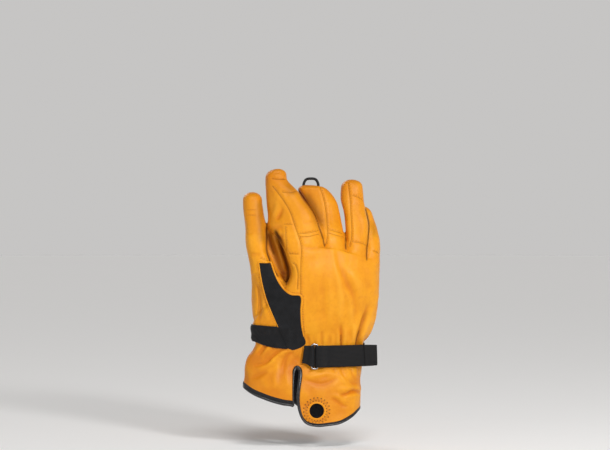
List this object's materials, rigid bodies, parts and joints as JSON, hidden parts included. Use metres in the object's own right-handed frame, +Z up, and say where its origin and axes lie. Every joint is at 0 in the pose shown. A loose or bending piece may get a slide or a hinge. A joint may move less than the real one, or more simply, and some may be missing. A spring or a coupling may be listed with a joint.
{
  "type": "glove",
  "caption": "Right-hand padded leather work and climbing glove with a gauntlet cuff, wrist strap and hanging loop, fingers up.",
  "frame": {"origin": "the crown of the cord loop on the middle fingertip, where the glove hangs", "axes": "+Z up along the fingers, away from the cuff; -Y out of the back of the hand; -X toward the thumb"},
  "size_m": [0.1596, 0.0803, 0.2968],
  "materials": {
    "leather": "smooth dyed goatskin, fine grain, soft sheen",
    "stretch_fabric": "tight black stretch knit",
    "lining": "soft black fleece",
    "webbing": "black ribbed nylon webbing",
    "cord": "black braided cord",
    "binding": "coated dark piping with a soft shine",
    "steel": "plated round wire"
  },
  "bodies": {
    "root": {"index_finger": "leather", "index_tip": "leather", "middle_finger": "leather", "middle_tip": "leather", "ring_finger": "leather", "ring_tip": "leather", "little_finger": "leather", "thumb": "leather", "side_gusset": "stretch_fabric", "back_panel": "leather", "palm_panel": "leather", "cuff": "leather", "hem_binding": "binding", "slit_piping": "binding", "cuff_lining": "lining", "wrist_band": "stretch_fabric", "wrist_strap": "webbing", "strap_keeper": "webbing", "wire_ring": "steel", "hang_loop": "cord"}
  },
  "joints": []
}
